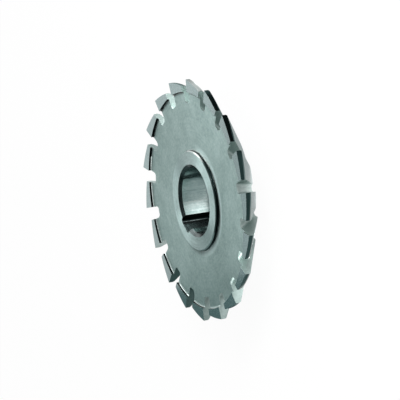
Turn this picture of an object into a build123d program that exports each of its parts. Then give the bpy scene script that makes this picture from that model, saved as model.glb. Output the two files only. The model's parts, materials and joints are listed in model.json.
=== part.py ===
from build123d import *
import math
import os

# Single angle milling cutter, in millimetres, one solid.
# It lies on the hub face of its small end. Z is the axis of the bore, and z = 0 is that lower hub face.
# The flat side with the recessed web faces up, and the toothed cone narrows downwards.
# Seen from above, the teeth cut counter-clockwise and their heels trail clockwise.

# Body and arbor mounting
cutter_diameter = 80.0
hub_length = 12.0
hub_diameter = 33.0
bore_diameter = 22.0
bore_chamfer = 1.0
hub_edge_chamfer = 0.3
keyway_width = 6.0
keyway_floor_to_far_bore_wall = 24.1
keyway_corner_radius = 1.0

# Flat side: the hub stands proud of the tooth sides, and the web is turned away between them
upper_hub_proud = 0.37
web_recess_depth = 0.86
side_band_width = 4.2
hub_foot_radius = 0.25
band_foot_radius = 0.4

# Tooth form: a narrow rim land, a small bevel and the long cone down to the small end
rim_land_width = 1.4
rim_bevel_width = 0.6
rim_bevel_angle = 30.0
cone_angle = 30.0
lower_hub_proud = 0.6

# Teeth: radial rake faces, straight along the cone, relieved behind each cutting edge
tooth_count = 18
keyway_to_edge_angle = 1.57
relief_angle = 13.5
side_relief_angle = 0.75

# Gullets: radial walls, a round-cornered floor that falls towards the small end
gullet_width_at_rim = 4.5
gullet_depth_at_web = 8.0
wall_round_hub_at_small_end = 4.7
gullet_corner_radius = 1.0

# How far each cutting body reaches past the surface that it cuts
overcut = 1.5

rim_radius = cutter_diameter / 2
hub_radius = hub_diameter / 2
bore_radius = bore_diameter / 2

# Heights of the planes and rings along the axis
side_height = hub_length - upper_hub_proud
web_height = side_height - web_recess_depth
land_end_height = side_height - rim_land_width
cone_top_height = land_end_height - rim_bevel_width
small_end_height = lower_hub_proud

# Radii where the bevel meets the cone and where the cone ends
cone_top_radius = rim_radius - rim_bevel_width * math.tan(math.radians(rim_bevel_angle))
cone_drop = cone_top_height - small_end_height
small_end_radius = cone_top_radius - cone_drop / math.tan(math.radians(cone_angle))

# Turned blank: the tooth disc on a plain hub, with the web faced down between hub and tooth sides
with BuildPart() as cutter:
    with BuildSketch(Plane.XZ):
        with BuildLine():
            Polyline(
                (0, side_height),
                (rim_radius, side_height),
                (rim_radius, land_end_height),
                (cone_top_radius, cone_top_height),
                (small_end_radius, small_end_height),
                (0, small_end_height),
                close=True,
            )
        make_face()
    revolve(axis=Axis.Z)

    with BuildSketch():
        Circle(hub_radius)
    extrude(amount=hub_length)

    web_outer_radius = rim_radius - side_band_width
    foot_limit = 0.9 * web_recess_depth
    with BuildSketch(Plane.XZ) as web_section:
        with BuildLine():
            Polyline(
                (hub_radius, web_height),
                (web_outer_radius, web_height),
                (web_outer_radius, hub_length + overcut),
                (hub_radius, hub_length + overcut),
                close=True,
            )
        make_face()
        hub_foot = web_section.vertices().group_by(Axis.Y)[0].sort_by(Axis.X)[0]
        fillet(hub_foot, radius=min(hub_foot_radius, foot_limit))
        band_foot = web_section.vertices().group_by(Axis.Y)[0].sort_by(Axis.X)[-1]
        fillet(band_foot, radius=min(band_foot_radius, foot_limit))
    revolve(axis=Axis.Z, mode=Mode.SUBTRACT)

    hub_faces = cutter.faces().filter_by(Axis.Z).group_by(Axis.Z)
    chamfer(hub_faces[0].edges() + hub_faces[-1].edges(), length=hub_edge_chamfer)

    with BuildSketch():
        Circle(bore_radius)
    extrude(amount=hub_length, mode=Mode.SUBTRACT)
    hub_faces = cutter.faces().filter_by(Axis.Z).group_by(Axis.Z)
    bore_rims = [hub_faces[i].edges().sort_by(SortBy.RADIUS)[0] for i in (0, -1)]
    chamfer(bore_rims, length=bore_chamfer)

# Keyway broached right through the bore, on the -Y side, with rounded corners at its floor
keyway_floor = keyway_floor_to_far_bore_wall - bore_radius
with BuildPart() as keyway:
    with BuildSketch() as keyway_section:
        with Locations((0, -keyway_floor)):
            Rectangle(keyway_width, keyway_floor, align=(Align.CENTER, Align.MIN))
        fillet(keyway_section.vertices().group_by(Axis.Y)[0], radius=keyway_corner_radius)
    extrude(amount=hub_length)

# One gullet, beside a cutting edge that lies on +X: a wedge between two planes through the axis, so the rake
# face is radial along the whole cone. Its flat floor slopes down to the small end, with rounded corners.
gullet_angle = gullet_width_at_rim / rim_radius
web_floor_radius = rim_radius - gullet_depth_at_web
small_end_floor_radius = hub_radius + wall_round_hub_at_small_end
gullet_outer_radius = rim_radius + overcut
middle_x = math.cos(gullet_angle / 2)
middle_y = math.sin(gullet_angle / 2)
floor_rise = web_height - small_end_height
floor_spread = web_floor_radius - small_end_floor_radius
floor_plane = Plane(
    origin=(web_floor_radius * middle_x, web_floor_radius * middle_y, web_height),
    x_dir=(-middle_y, middle_x, 0),
    z_dir=(floor_rise * middle_x, floor_rise * middle_y, -floor_spread),
)
with BuildPart() as gullet:
    with BuildSketch(Plane.XY.offset(small_end_height - overcut)):
        with BuildLine():
            Polyline(
                (0, 0),
                (gullet_outer_radius, 0),
                (gullet_outer_radius * math.cos(gullet_angle), gullet_outer_radius * math.sin(gullet_angle)),
                close=True,
            )
        make_face()
    extrude(amount=side_height - small_end_height + 2 * overcut)
    split(bisect_by=floor_plane, keep=Keep.TOP)
    gullet_floor = gullet.faces().sort_by(Axis.X)[0]
    fillet(gullet_floor.edges().sort_by(SortBy.LENGTH)[-2:], radius=gullet_corner_radius)

# The body that one relieved tooth is left with, its cutting edge on +X and its heel towards -Y.
# The rim land is a cylinder whose centre is moved off the axis, away from the heel.
# Bevel and cone keep their apex on the axis and lean away from the heel, so the relief angle is the same
# along the whole edge. The tooth side falls away from the edge as a plane.
relief_slope = math.tan(math.radians(relief_angle))
with BuildPart() as relieved_form:
    with Locations((0, rim_radius * relief_slope, -hub_length)):
        Cylinder(
            radius=rim_radius / math.cos(math.radians(relief_angle)),
            height=3 * hub_length,
            align=(Align.CENTER, Align.CENTER, Align.MIN),
        )
    for half_angle in (math.radians(rim_bevel_angle), math.radians(90 - cone_angle)):
        apex_height = cone_top_height - cone_top_radius / math.tan(half_angle)
        lean = math.atan(relief_slope * math.sin(half_angle) * math.cos(half_angle))
        relieved_half_angle = math.acos(math.cos(half_angle) * math.cos(lean))
        cone_height = 2 * (hub_length - apex_height)
        with Locations(Plane(origin=(0, 0, apex_height), z_dir=(0, math.sin(lean), math.cos(lean)))):
            Cone(
                bottom_radius=0,
                top_radius=cone_height * math.tan(relieved_half_angle),
                height=cone_height,
                align=(Align.CENTER, Align.CENTER, Align.MIN),
                mode=Mode.INTERSECT,
            )
    side_fall = math.radians(side_relief_angle)
    side_plane = Plane(
        origin=(0, 0, side_height),
        x_dir=(1, 0, 0),
        z_dir=(0, -math.sin(side_fall), math.cos(side_fall)),
    )
    with Locations(side_plane):
        Box(
            2 * cutter_diameter,
            2 * cutter_diameter,
            2 * hub_length,
            align=(Align.CENTER, Align.CENTER, Align.MAX),
            mode=Mode.INTERSECT,
        )

# What the grinding of one tooth takes off: a wedge round the tooth, less the relieved form.
# The wedge starts and ends inside the gullets on both sides of the tooth.
tooth_angle = 2 * math.pi / tooth_count - gullet_angle
wedge_inner_radius = hub_radius + overcut
wedge_outer_radius = rim_radius + overcut
with BuildPart() as relief:
    with BuildSketch(Plane.XY.offset(small_end_height - overcut)):
        with BuildLine():
            Polyline(
                *[
                    (radius * math.cos(angle), radius * math.sin(angle))
                    for radius, angle in (
                        (wedge_inner_radius, gullet_angle / 2),
                        (wedge_outer_radius, gullet_angle / 2),
                        (wedge_outer_radius / math.cos(tooth_angle / 2), -tooth_angle / 2),
                        (wedge_outer_radius, -tooth_angle - gullet_angle / 2),
                        (wedge_inner_radius, -tooth_angle - gullet_angle / 2),
                    )
                ],
                close=True,
            )
        make_face()
    extrude(amount=side_height - small_end_height + 2 * overcut)
    add(relieved_form.part, mode=Mode.SUBTRACT)

# Keyway, gullets and relief are cut from the blank
with BuildPart() as single_angle_cutter:
    add(cutter.part)
    add(keyway.part, mode=Mode.SUBTRACT)
    with PolarLocations(radius=0, count=tooth_count, start_angle=keyway_to_edge_angle - 90):
        add(gullet.part, mode=Mode.SUBTRACT)
        add(relief.part, mode=Mode.SUBTRACT)

os.makedirs("parts", exist_ok=True)
single_angle_cutter.part.label = "single_angle_cutter"
export_step(single_angle_cutter.part, "parts/single_angle_cutter.step")
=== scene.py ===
import json
import math

import bmesh
import bpy
import numpy as np
from mathutils import Matrix, Vector


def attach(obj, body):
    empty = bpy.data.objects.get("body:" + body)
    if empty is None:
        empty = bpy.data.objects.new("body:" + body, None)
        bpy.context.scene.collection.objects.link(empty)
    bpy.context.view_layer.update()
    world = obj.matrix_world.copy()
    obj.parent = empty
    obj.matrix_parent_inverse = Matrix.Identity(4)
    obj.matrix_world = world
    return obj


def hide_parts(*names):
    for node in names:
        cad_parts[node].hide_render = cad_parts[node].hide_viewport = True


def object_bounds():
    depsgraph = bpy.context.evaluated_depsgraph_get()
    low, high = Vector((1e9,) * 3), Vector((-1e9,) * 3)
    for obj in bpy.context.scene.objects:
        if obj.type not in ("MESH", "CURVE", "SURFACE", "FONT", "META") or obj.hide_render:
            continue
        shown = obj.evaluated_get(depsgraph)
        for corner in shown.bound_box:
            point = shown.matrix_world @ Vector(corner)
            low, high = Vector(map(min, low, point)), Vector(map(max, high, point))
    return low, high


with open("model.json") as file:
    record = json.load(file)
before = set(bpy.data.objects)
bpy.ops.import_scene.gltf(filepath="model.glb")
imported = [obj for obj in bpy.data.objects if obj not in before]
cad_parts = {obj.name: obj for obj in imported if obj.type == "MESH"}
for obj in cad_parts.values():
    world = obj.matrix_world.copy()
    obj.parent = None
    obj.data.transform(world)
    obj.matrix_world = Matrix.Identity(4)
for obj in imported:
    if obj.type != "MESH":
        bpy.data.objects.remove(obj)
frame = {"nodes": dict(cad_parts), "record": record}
cad_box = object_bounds()

# Camera.
# The cutter lies on the hub face of its small end, and the photograph shows its flat side standing upright.
# So the camera looks down on the disc at a low angle and is rolled on its side. It is a long lens, far off.
camera_azimuth = math.radians(51.49)
camera_elevation = math.radians(24.24)
camera_roll = math.radians(98.45)
camera_distance = 1.30599
image_offset_right = 0.0020355
image_offset_up = 0.0002765

look_back = Vector((
    math.cos(camera_azimuth) * math.cos(camera_elevation),
    math.sin(camera_azimuth) * math.cos(camera_elevation),
    math.sin(camera_elevation),
))
level_right = Vector((-math.sin(camera_azimuth), math.cos(camera_azimuth), 0))
level_up = look_back.cross(level_right)
image_right = math.cos(camera_roll) * level_right - math.sin(camera_roll) * level_up
image_up = math.sin(camera_roll) * level_right + math.cos(camera_roll) * level_up
upper_hub_centre = Vector((0, 0, cad_box[1].z))
camera = bpy.data.objects.new("camera", bpy.data.cameras.new("camera"))
bpy.context.scene.collection.objects.link(camera)
camera.matrix_world = Matrix.Translation(
    upper_hub_centre
    + image_offset_right * image_right
    + image_offset_up * image_up
    + camera_distance * look_back
) @ Matrix((image_right, image_up, look_back)).transposed().to_4x4()
camera.data.lens = 360
camera.data.sensor_width = 36
camera.data.clip_start = 0.1
camera.data.clip_end = 10
bpy.context.scene.camera = camera
bpy.context.scene.view_settings.view_transform = "Standard"

# Room: a white world and a pale paper floor.
# Both are white for the camera and in reflections, where they shine at a strength of about 1. The world
# lights the cutter at a plain soft level, and the floor keeps a faint shadow of it.
soft_light_level = 0.6
floor_half_side = 3.0
floor_gap = 0.00005
floor_glow_share = 0.94


def linear(hex_colour):
    """The linear colour of an sRGB hex colour, with alpha 1."""
    values = [int(hex_colour[i:i + 2], 16) / 255 for i in (0, 2, 4)]
    return [v / 12.92 if v <= 0.04045 else ((v + 0.055) / 1.055) ** 2.4 for v in values] + [1]


def add_node(tree, kind, settings=None, **inputs):
    """Adds a node, gives it settings, and sets or links its inputs. Each input is a value or an output
    socket, and is named by its socket, with _ for a space, or by i and the socket's number."""
    made = tree.nodes.new(kind)
    for name, value in (settings or {}).items():
        setattr(made, name, value)
    for name, value in inputs.items():
        socket = made.inputs[int(name[1:])] if name[1:].isdigit() else made.inputs[name.replace("_", " ")]
        if isinstance(value, bpy.types.NodeSocket):
            tree.links.new(value, socket)
        else:
            socket.default_value = value
    return made


def seen_share(tree):
    """1 for rays from the camera and for those off or through a shiny thing, 0 for the light's own rays."""
    ray = add_node(tree, "ShaderNodeLightPath")
    share = ray.outputs["Is Camera Ray"]
    for name in ("Is Glossy Ray", "Is Transmission Ray"):
        either = add_node(tree, "ShaderNodeMath", {"operation": "MAXIMUM"}, i0=share, i1=ray.outputs[name])
        share = either.outputs[0]
    return share


world = bpy.data.worlds.new("white room")
world.use_nodes = True
tree = world.node_tree
tree.nodes.clear()
level = add_node(tree, "ShaderNodeMapRange", Value=seen_share(tree), To_Min=soft_light_level, To_Max=1.0)
room_light = add_node(tree, "ShaderNodeBackground", Color=(1, 1, 1, 1), Strength=level.outputs[0])
add_node(tree, "ShaderNodeOutputWorld", Surface=room_light.outputs[0])
bpy.context.scene.world = world

floor_mesh = bpy.data.meshes.new("floor")
floor_mesh.from_pydata(
    [(x * floor_half_side, y * floor_half_side, -floor_gap) for x, y in ((-1, -1), (1, -1), (1, 1), (-1, 1))],
    [],
    [(0, 1, 2, 3)],
)
floor = bpy.data.objects.new("floor", floor_mesh)
bpy.context.scene.collection.objects.link(floor)
white_paper = bpy.data.materials.new("white paper floor")
white_paper.use_nodes = True
tree = white_paper.node_tree
tree.nodes.clear()
paper = add_node(tree, "ShaderNodeBsdfDiffuse", Color=linear("ffffff")).outputs[0]
glow = add_node(tree, "ShaderNodeEmission", Color=(1, 1, 1, 1), Strength=1.0).outputs[0]
glow_share = add_node(
    tree, "ShaderNodeMath", {"operation": "MULTIPLY"}, i0=seen_share(tree), i1=floor_glow_share
).outputs[0]
blend = add_node(tree, "ShaderNodeMixShader", i0=glow_share, i1=paper, i2=glow).outputs[0]
add_node(tree, "ShaderNodeOutputMaterial", Surface=blend)
floor_mesh.materials.append(white_paper)

# Light tent: a small cloth dome and a ground sheet round the cutter, pale behind it and black in front.
# Bare steel shows what it mirrors, so the tent gives each face its light or dark tone. Only reflections see
# it: it casts no light or shadow on anything matt. Its angles are in degrees, and its lengths in metres.
tent_radius = 0.12
azimuth_step = 3
elevation_step = 3
ground_step = 0.001

flat_mirror_azimuth = -129
flat_mirror_elevation = 29
border_slope = -0.6
border_softness = 9
dim_cloth = 0.49
extra_light = 0.34
black_cloth = 0.04

# Windows in the dome: azimuth, elevation, height over width, half height and level
windows = (
    # lights the top of the web, and the hub face at its upper right and lower left
    (-176, 50, 0.5, 10, 3.4),
    # lights the lower right of the web and both sides of the hub face
    (-112, 58, 0.4, 10, 2.4),
    # puts glints on the chamfers of hub and bore
    (172, 27, 0.6, 7.5, 2.0),
)
window_softness = 3

# Arcs on the ground: azimuth of the middle, half width, inner and outer distance from the axis, and level
arcs = (
    # lights the gullets at the top of the picture
    (161, 16, 0.033, 0.0415, 9.6),
    # dims the rims and gullets at the upper left
    (176, 27, 0.0465, 0.061, 0.3),
    # lights the gullets and rake faces at the lower right
    (8, 20, 0.0275, 0.0350, 3.7),
    # lights the gullets at the foot of the picture
    (-16, 22, 0.0410, 0.0475, 1.6),
    # lights the gullet in the middle of the right side and the cones beside it
    (60, 19, -0.01, 0.0236, 1.3),
)
arc_end_fade = 6
arc_side_fade = 0.0015

# The bore's wall mirrors the ground sheet inside the bore. The sheet's bands run out from a point beside the
# axis: the level goes by the direction from there.
bore_sheet_radius = 0.012
band_origin_x = -0.004
band_origin_y = -0.005
band_directions = (-44, -34, 50, 60, 64, 90, 104, 112)
band_levels = (0.02, 0.49, 0.49, 1.19, 1.19, 1.79, 1.79, 0.02)


def within(distance, edge, softness):
    """1 up to edge - softness and 0 from edge + softness, with the smooth curve 3t^2 - 2t^3 between."""
    t = np.clip((edge + softness - distance) / (2 * softness), 0, 1)
    return t * t * (3 - 2 * t)


def away(azimuth, middle):
    """How many degrees azimuth lies from middle, either way round."""
    return np.abs((azimuth - middle + 180) % 360 - 180)


def dome_level(azimuth, elevation):
    """Brightness of the dome's cloth by direction. A slanting border runs through the place that the flat
    side mirrors: the cloth is light below it, dim above it, and light again near the top. It is black on the
    camera's side and on the side towards the picture's foot. A window adds its level where the distance from
    its middle, with the azimuth's part multiplied by its height over its width, is within its half height."""
    turned = (azimuth - flat_mirror_azimuth + 180) % 360 - 180
    border_elevation = flat_mirror_elevation + border_slope * turned
    below_border = within(elevation - border_elevation, edge=0, softness=border_softness)
    near_top = 1 - within(elevation, edge=56, softness=6)
    pale = dim_cloth + extra_light * np.maximum(below_border, near_top)
    camera_side = within(away(azimuth, 60), edge=90, softness=10) * within(elevation, edge=85, softness=5)
    foot_side = within(away(azimuth, -55), edge=45, softness=10) * within(elevation, edge=65, softness=10)
    black = np.maximum(camera_side, foot_side)
    level = pale * (1 - black) + black_cloth * black
    for window_azimuth, window_elevation, height_over_width, half_height, window_level in windows:
        distance = np.hypot(away(azimuth, window_azimuth) * height_over_width, elevation - window_elevation)
        level = level + window_level * within(distance, half_height, window_softness)
    return level


def ground_level(azimuth, radius):
    """Brightness of the ground sheet by azimuth and distance from the axis: white behind the cutter, black in
    front of it, about half dark under it and black there on the keyway's side. The black is a little lighter
    towards azimuth 10 and away from azimuth 70. Each arc sets its own level between its limits."""
    in_front = within(away(azimuth, 20), edge=109, softness=9)
    on_keyway_side = within(away(azimuth, -85), edge=38, softness=6)
    past_teeth = 1 - within(radius, edge=0.039, softness=0.002)
    under_teeth = within(radius, edge=0.042, softness=0.002)
    black = np.maximum(in_front * past_teeth, np.maximum(on_keyway_side, 0.45) * under_teeth)
    lighter_front = within(away(azimuth, 10), edge=61, softness=5)
    lighter_back = 1 - within(away(azimuth, 70), edge=55, softness=15)
    black_level = 0.008 + 0.06 * lighter_front + 0.05 * lighter_back
    level = 1 - black + black_level * black
    for middle, half_width, inner, outer, arc_level in arcs:
        along = within(away(azimuth, middle), half_width, arc_end_fade)
        across = (1 - within(radius, inner, arc_side_fade)) * within(radius, outer, arc_side_fade)
        level = level + (arc_level - level) * along * across
    return np.where(radius < bore_sheet_radius, bore_floor_level(azimuth, radius), level)


def bore_floor_level(azimuth, radius):
    """Brightness of the sheet inside the bore. It runs straight from one band's level to the next by the
    direction from the bands' origin, so the wall shows black, grey and two steps of white along the bore."""
    x = radius * np.cos(np.radians(azimuth)) - band_origin_x
    y = radius * np.sin(np.radians(azimuth)) - band_origin_y
    return np.interp(np.degrees(np.arctan2(y, x)), band_directions, band_levels)


def ring_point(radius, azimuth, height):
    """The point at a distance from the axis, an azimuth in degrees and a height."""
    return radius * np.cos(np.radians(azimuth)), radius * np.sin(np.radians(azimuth)), height


def cloth(name, across, along, position, level):
    """A grid of two parameters: position gives x, y and z arrays, and level the brightness at each point."""
    first, second = np.meshgrid(across, along, indexing="ij")
    point = np.stack(np.broadcast_arrays(*position(first, second)), -1)
    rows, columns = first.shape
    corner = np.arange(rows * columns).reshape(rows, columns)
    faces = np.stack([corner[:-1, :-1], corner[1:, :-1], corner[1:, 1:], corner[:-1, 1:]], -1)
    mesh = bpy.data.meshes.new(name)
    mesh.from_pydata(point.reshape(-1, 3).tolist(), [], faces.reshape(-1, 4).tolist())
    brightness = mesh.attributes.new("brightness", "FLOAT", "POINT")
    brightness.data.foreach_set("value", level(first, second).astype(np.float32).ravel())
    made = bpy.data.objects.new(name, mesh)
    bpy.context.scene.collection.objects.link(made)
    made.visible_camera = False
    made.visible_shadow = False
    made.visible_diffuse = False
    mesh.materials.append(tent_cloth)
    return made


# Glowing cloth: it shines at its own level, cool where it is dim and white from a level of 0.6.
white_from_level = 0.6
cool_white = (0.5, 1, 1, 1)
plain_white = (1, 1, 1, 1)
tent_cloth = bpy.data.materials.new("tent cloth")
tent_cloth.use_nodes = True
tree = tent_cloth.node_tree
tree.nodes.clear()
own_level = add_node(tree, "ShaderNodeAttribute", {"attribute_name": "brightness"}).outputs["Fac"]
whiteness = add_node(tree, "ShaderNodeMapRange", Value=own_level, From_Max=white_from_level).outputs[0]
cool_to_white = add_node(
    tree, "ShaderNodeMix", {"data_type": "RGBA"}, i0=whiteness, i6=cool_white, i7=plain_white
).outputs[2]
cloth_glow = add_node(tree, "ShaderNodeEmission", Color=cool_to_white, Strength=own_level).outputs[0]
add_node(tree, "ShaderNodeOutputMaterial", Surface=cloth_glow)

azimuths = np.arange(0, 361, azimuth_step)
cloth(
    "tent_dome",
    azimuths,
    np.arange(0, 91, elevation_step),
    lambda a, e: ring_point(tent_radius * np.cos(np.radians(e)), a, tent_radius * np.sin(np.radians(e))),
    dome_level,
)
cloth(
    "tent_ground",
    azimuths,
    np.arange(0, tent_radius + ground_step, ground_step),
    lambda a, r: ring_point(r, a, 0 * r),
    ground_level,
)

# Flag: a piece of grey cloth stands upright inside the tent, towards the picture's foot.
# It gives the lowest tooth sides, the foot of the web and the hub's lower edge their dark tone.
flag_radius = 0.075
flag_first_azimuth = -106
flag_last_azimuth = -36
flag_height = 0.07
flag_level = 0.22
cloth(
    "side_flag",
    np.linspace(flag_first_azimuth, flag_last_azimuth, 36),
    np.linspace(0, flag_height, 8),
    lambda a, h: ring_point(flag_radius, a, h),
    lambda a, h: flag_level + 0 * a,
)

# Softbox: one small area lamp faces the cutter's middle from the camera's side, near the top of the picture.
# It brightens the gullets all round and lays two soft sweeps on the hub face.
softbox_azimuth = math.radians(98)
softbox_elevation = math.radians(25)
softbox_distance = 0.5
softbox_side = 0.25
softbox_watts = 3.0
lamp = bpy.data.lights.new("softbox", "AREA")
lamp.shape = "SQUARE"
lamp.size = softbox_side
lamp.energy = softbox_watts
away_from_cutter = Vector((
    math.cos(softbox_azimuth) * math.cos(softbox_elevation),
    math.sin(softbox_azimuth) * math.cos(softbox_elevation),
    math.sin(softbox_elevation),
))
softbox = bpy.data.objects.new("softbox", lamp)
softbox.location = away_from_cutter * softbox_distance
softbox.rotation_mode = "QUATERNION"
softbox.rotation_quaternion = away_from_cutter.to_track_quat("Z", "Y")
bpy.context.scene.collection.objects.link(softbox)

# Cutter: one piece of high-speed steel, turned, milled, hardened and ground.
# The object is a merged copy of the CAD part. Its edges are broken with a stone, and each kind of face has
# the finish of its own machining, with painted shade on the steps and painted highlights on the feet and
# edges.
# The faces are told apart by their place and direction.
merge_distance = 0.000002
node = frame["nodes"]["single_angle_cutter"]
shape = bmesh.new()
shape.from_mesh(node.data)
bmesh.ops.remove_doubles(shape, verts=shape.verts, dist=merge_distance)
mesh = bpy.data.meshes.new("cutter")
shape.to_mesh(mesh)
shape.free()
cutter = bpy.data.objects.new("cutter", mesh)
bpy.context.scene.collection.objects.link(cutter)
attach(cutter, "root")
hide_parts("single_angle_cutter")

# Sizes of the CAD part that the finishes follow, in metres. Radii are distances from the axis.
mounts = {m["name"]: m for m in frame["record"]["mounts"]}
bore_radius = mounts["bore"]["dims"]["r_mm"] / 1000
hub_top = mounts["upper_hub_face"]["pos_m"][2]
rim_radius = cad_box[1].x
hub_radius = 0.0165
web_height = 0.01077
band_radius = 0.0358
land_inner_radius = 0.0375
keyway_half_width = 0.003
keyway_floor_radius = 0.0131
bore_chamfer_reach = 0.0013
hub_chamfer_reach = 0.0005
foot_reach = 0.0006
tolerance = 0.00005

# Bare steel. Turning, milling and grinding leave it the same colour with another sheen on each kind of face,
# so all finishes are metal and differ in tone, roughness and lay. Real marks are 0.02 to 0.1 mm apart. They
# are drawn 0.3 to 0.7 mm apart so that they show, with clouds of 8 mm and a grain of 0.7 mm.
cloud_size = 0.0083
grain_size = 0.0007
grain_strength = 0.58
noise_half_range = 0.25
round_noise_radius = 2.0
cells_per_metre_along = 40.0
polish_range = 0.05
full_ring_cosine = 0.4


def steel(name, light, dark, roughness, spacing, lay, stretch=None, anisotropy=0.0, cloud=0.0, contrast=1.0,
          rings=()):
    """Bare steel whose tone runs from dark to light with a noise that is drawn out along the marks.
    lay is "round" for circles about the axis, "axis" for lines along it and "out" for lines away from it, and
    spacing is the distance between marks in metres. The noise is read at turn * direction in x and y and at
    along * (distance + height) in z, where direction and distance are from the axis. stretch is the way that
    highlights spread, cloud is the share of the slow noise, and contrast narrows the noise's range.
    Each ring paints light or shade into the tone. It has two distances from the axis, the share of its colour
    that the tone reaches between them, the colour, and the azimuth of its middle: it is full up to 66 degrees
    from there and gone at 90."""
    made = bpy.data.materials.new(name)
    made.use_nodes = True
    tree = made.node_tree
    shader = tree.nodes["Principled BSDF"]
    place = add_node(tree, "ShaderNodeTexCoord").outputs["Object"]
    height = add_node(tree, "ShaderNodeSeparateXYZ", i0=place).outputs["Z"]
    flat = add_node(
        tree, "ShaderNodeVectorMath", {"operation": "MULTIPLY"}, i0=place, i1=(1, 1, 0)
    ).outputs[0]
    direction = add_node(tree, "ShaderNodeVectorMath", {"operation": "NORMALIZE"}, i0=flat).outputs[0]
    distance = add_node(tree, "ShaderNodeVectorMath", {"operation": "LENGTH"}, i0=flat).outputs["Value"]

    turn = {"round": round_noise_radius, "axis": bore_radius / spacing, "out": rim_radius / spacing}[lay]
    along = 1 / spacing if lay == "round" else cells_per_metre_along
    reach = add_node(tree, "ShaderNodeMath", {"operation": "ADD"}, i0=distance, i1=height).outputs[0]
    reach = add_node(tree, "ShaderNodeMath", {"operation": "MULTIPLY"}, i0=reach, i1=along).outputs[0]
    upward = add_node(tree, "ShaderNodeCombineXYZ", Z=reach).outputs[0]
    marks_place = add_node(
        tree,
        "ShaderNodeVectorMath",
        {"operation": "MULTIPLY_ADD"},
        i0=direction,
        i1=(turn, turn, 0),
        i2=upward,
    ).outputs[0]
    marks = add_node(
        tree, "ShaderNodeTexNoise", Vector=marks_place, Scale=1.0, Detail=3.0, Roughness=0.6
    ).outputs["Fac"]
    clouds = add_node(
        tree, "ShaderNodeTexNoise", Vector=place, Scale=1 / cloud_size, Detail=5.0, Roughness=0.7
    ).outputs["Fac"]
    grain = add_node(
        tree, "ShaderNodeTexNoise", Vector=place, Scale=1 / grain_size, Detail=2.0, Roughness=0.7
    ).outputs["Fac"]
    pattern = add_node(
        tree, "ShaderNodeMix", {"data_type": "FLOAT"}, i0=cloud, i2=marks, i3=clouds
    ).outputs[0]
    share = add_node(
        tree,
        "ShaderNodeMapRange",
        Value=pattern,
        From_Min=0.5 - noise_half_range / contrast,
        From_Max=0.5 + noise_half_range / contrast,
    ).outputs[0]
    speckle = add_node(
        tree,
        "ShaderNodeMapRange",
        {"clamp": False},
        Value=grain,
        To_Min=-grain_strength,
        To_Max=grain_strength,
    ).outputs[0]
    share = add_node(
        tree, "ShaderNodeMath", {"operation": "ADD", "use_clamp": True}, i0=share, i1=speckle
    ).outputs[0]
    tone = add_node(
        tree, "ShaderNodeMix", {"data_type": "RGBA"}, i0=share, i6=linear(dark), i7=linear(light)
    ).outputs[2]
    for start, end, amount, colour, azimuth in rings:
        middle = (math.cos(math.radians(azimuth)), math.sin(math.radians(azimuth)), 0)
        facing = add_node(
            tree, "ShaderNodeVectorMath", {"operation": "DOT_PRODUCT"}, i0=direction, i1=middle
        ).outputs["Value"]
        amount_here = add_node(
            tree, "ShaderNodeMapRange", Value=facing, From_Min=0.0, From_Max=full_ring_cosine, To_Max=amount
        ).outputs[0]
        ring_share = add_node(
            tree, "ShaderNodeMapRange", Value=distance, From_Min=start, From_Max=end, To_Max=amount_here
        ).outputs[0]
        tone = add_node(
            tree, "ShaderNodeMix", {"data_type": "RGBA"}, i0=ring_share, i6=tone, i7=linear(colour)
        ).outputs[2]
    tree.links.new(tone, shader.inputs["Base Color"])

    # The lighter the tone, the better the polish
    polish = add_node(
        tree,
        "ShaderNodeMapRange",
        Value=share,
        To_Min=roughness + polish_range,
        To_Max=roughness - polish_range,
    ).outputs[0]
    tree.links.new(polish, shader.inputs["Roughness"])
    shader.inputs["Metallic"].default_value = 1.0
    shader.inputs["Anisotropic"].default_value = anisotropy
    if stretch == "out":
        tree.links.new(direction, shader.inputs["Tangent"])
    if stretch == "axis":
        axis = add_node(tree, "ShaderNodeCombineXYZ", Z=1.0)
        tree.links.new(axis.outputs[0], shader.inputs["Tangent"])
    return made


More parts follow.
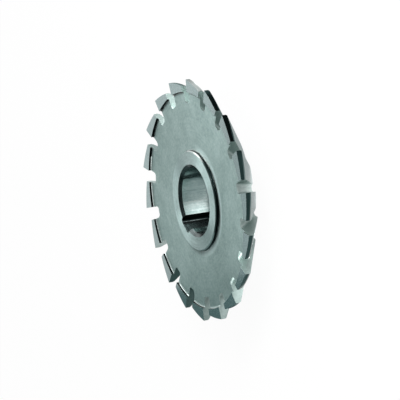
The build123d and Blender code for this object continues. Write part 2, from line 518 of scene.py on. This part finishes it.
# Painted light and shade round the web, mixed into its colour: a painted shadow and a painted light line at
# the foot of the tooth band, and a painted glint beside the hub's foot on one side, with painted shade on the
# other.
painted_web_light_and_shade = (
    (band_radius - 0.0009, band_radius - 0.0003, 0.9, "101a1a", 175),
    (band_radius - 0.0008, band_radius - 0.0004, 1.0, "ecfffc", -75),
    (hub_radius + 0.0025, hub_radius + 0.0009, 0.85, "d6ecea", 42),
    (hub_radius + 0.0008, hub_radius + 0.0004, 1.0, "ecfffc", 42),
    (hub_radius + 0.0020, hub_radius + 0.0005, 0.6, "283434", -40),
)
finishes = {
    "gullet": steel("milled gullet steel", "c4d2cf", "a0b2ae", 0.46, 0.0005, "axis", cloud=0.5, contrast=1.3),
    "web": steel(
        "turned web steel", "a6bbb8", "819794", 0.5, 0.0007, "round", "out", 0.25, cloud=0.75, rings=painted_web_light_and_shade
    ),
    "hub_face": steel(
        "ground hub face steel", "bed2d0", "92aaa8", 0.42, 0.0004, "round", "out", 0.88, cloud=0.4
    ),
    "bore": steel(
        "honed bore steel", "cad8d6", "a6bcba", 0.2, 0.0006, "axis", "axis", 0.7, cloud=0.5, contrast=1.4
    ),
    "side": steel("ground tooth side steel", "b2c4c4", "9eb2b2", 0.18, 0.0005, "out", cloud=0.6),
    "land": steel("ground land steel", "bcc6c4", "a8b2b0", 0.12, 0.0003, "round"),
    "cone": steel("ground cone steel", "b4c6c4", "a2b4b2", 0.3, 0.0004, "round"),
    # A darker steel in the keyway and on the bore's chamfers.
    "scale": steel("darker keyway and chamfer steel", "788282", "404a4a", 0.25, 0.0006, "round", contrast=1.6),
    # Painted shade: near black on the hub's wall, the keyway's walls and the feet of hub and band, where
    # these walls and corners lie in shade.
    "step": steel("step steel painted near black for shade", "182222", "0c1414", 0.3, 0.0006, "round", cloud=0.6),
    # Edges broken with a stone are polished. Their light tone is partly that polish and partly a painted
    # highlight line.
    "edge": steel("stoned edge steel with painted highlight", "d8e0de", "ccd4d2", 0.15, 0.0004, "round"),
    # Painted highlight: a light line on the fillets at the foot of the hub, and at the foot of the band on
    # the cutter's lower half.
    "foot": steel("foot fillet steel painted light for highlight", "d6e2e0", "c0ceca", 0.15, 0.0004, "round"),
}
order = list(finishes)
for made in finishes.values():
    mesh.materials.append(made)

# Which finish a face has follows from where its centre is and where it points. upward and outward are the
# shares of its normal that point up and away from the axis. A later rule wins.
faces = len(mesh.polygons)
centre = np.empty(faces * 3)
normal = np.empty(faces * 3)
mesh.polygons.foreach_get("center", centre)
mesh.polygons.foreach_get("normal", normal)
centre = centre.reshape(-1, 3)
normal = normal.reshape(-1, 3)
radius = np.hypot(centre[:, 0], centre[:, 1])
height = centre[:, 2]
outward = (normal[:, 0] * centre[:, 0] + normal[:, 1] * centre[:, 1]) / radius
upward = normal[:, 2]

faces_up = upward > 0.999
faces_down = upward < -0.999
sloping = (np.abs(upward) > 0.1) & (np.abs(upward) < 0.9)
on_bore = (np.abs(radius - bore_radius) < 4 * tolerance) & (outward < -0.9)
in_keyway = (
    (radius < keyway_floor_radius + 0.0015)
    & (np.abs(upward) < 0.5)
    & (centre[:, 1] < 0)
    & (np.abs(centre[:, 0]) < keyway_half_width + tolerance)
    & ~on_bore
)
on_keyway_floor = normal[:, 1] >= 0.9
on_hub_wall = (outward > 0.9) & (np.abs(radius - hub_radius) < tolerance)
in_hub_foot = (outward > 0.1) & (radius > hub_radius + tolerance / 4) & (radius < hub_radius + foot_reach)
in_band_foot = (
    (outward < -0.1)
    & (radius > band_radius - foot_reach)
    & (radius < band_radius + tolerance)
    & ~faces_up
)
in_lower_half = centre[:, 1] < -0.4 * radius
kind = np.full(faces, order.index("gullet"))
for finish, chosen in (
    ("hub_face", faces_up & (height > hub_top - tolerance)),
    ("hub_face", faces_down & (radius < hub_radius + tolerance)),
    ("web", faces_up & (np.abs(height - web_height) < tolerance)),
    ("web", faces_down & (radius > hub_radius + tolerance)),
    ("side", (upward > 0.9) & (height > web_height + tolerance) & (radius > band_radius - tolerance)),
    ("bore", on_bore),
    ("land", (radius > land_inner_radius) & (outward > 0.5) & (upward > -0.7)),
    ("cone", (upward < -0.75) & (upward > -0.95) & (radius > hub_radius + 0.001)),
    ("scale", in_keyway | (sloping & (radius < bore_radius + bore_chamfer_reach))),
    # Painted shade: the keyway's walls, the hub's wall and foot, and the band's foot take the near-black step
    # steel.
    ("step", in_keyway & ~on_keyway_floor),
    ("step", on_hub_wall | in_hub_foot),
    # Painted highlight on the top of the hub's foot fillet.
    ("foot", in_hub_foot & (upward > 0.85) & (radius > hub_radius + tolerance)),
    ("edge", sloping & (radius > hub_radius - hub_chamfer_reach) & (radius < hub_radius)),
    ("step", in_band_foot),
    # Painted highlight on the band's foot, on the lower half only.
    ("foot", in_band_foot & (upward > 0.6) & in_lower_half),
):
    kind[chosen] = order.index(finish)
mesh.polygons.foreach_set("material_index", kind.astype(np.int32))
mesh.polygons.foreach_set("use_smooth", np.ones(faces, bool))

# Coplanar triangles are joined, edges are broken with a stone, and shading follows the large faces.
edge_break_width = 0.00012
sharp_edge_angle = math.radians(25)
coplanar_angle = math.radians(0.2)
flat = cutter.modifiers.new("flat faces", "DECIMATE")
flat.decimate_type = "DISSOLVE"
flat.angle_limit = coplanar_angle
flat.delimit = {"MATERIAL"}
edge = cutter.modifiers.new("broken edges", "BEVEL")
edge.width = edge_break_width
edge.segments = 2
edge.limit_method = "ANGLE"
edge.material = order.index("edge")
edge.angle_limit = sharp_edge_angle
even = cutter.modifiers.new("even shading", "WEIGHTED_NORMAL")
even.mode = "FACE_AREA"
even.weight = 100
even.thresh = 0.01
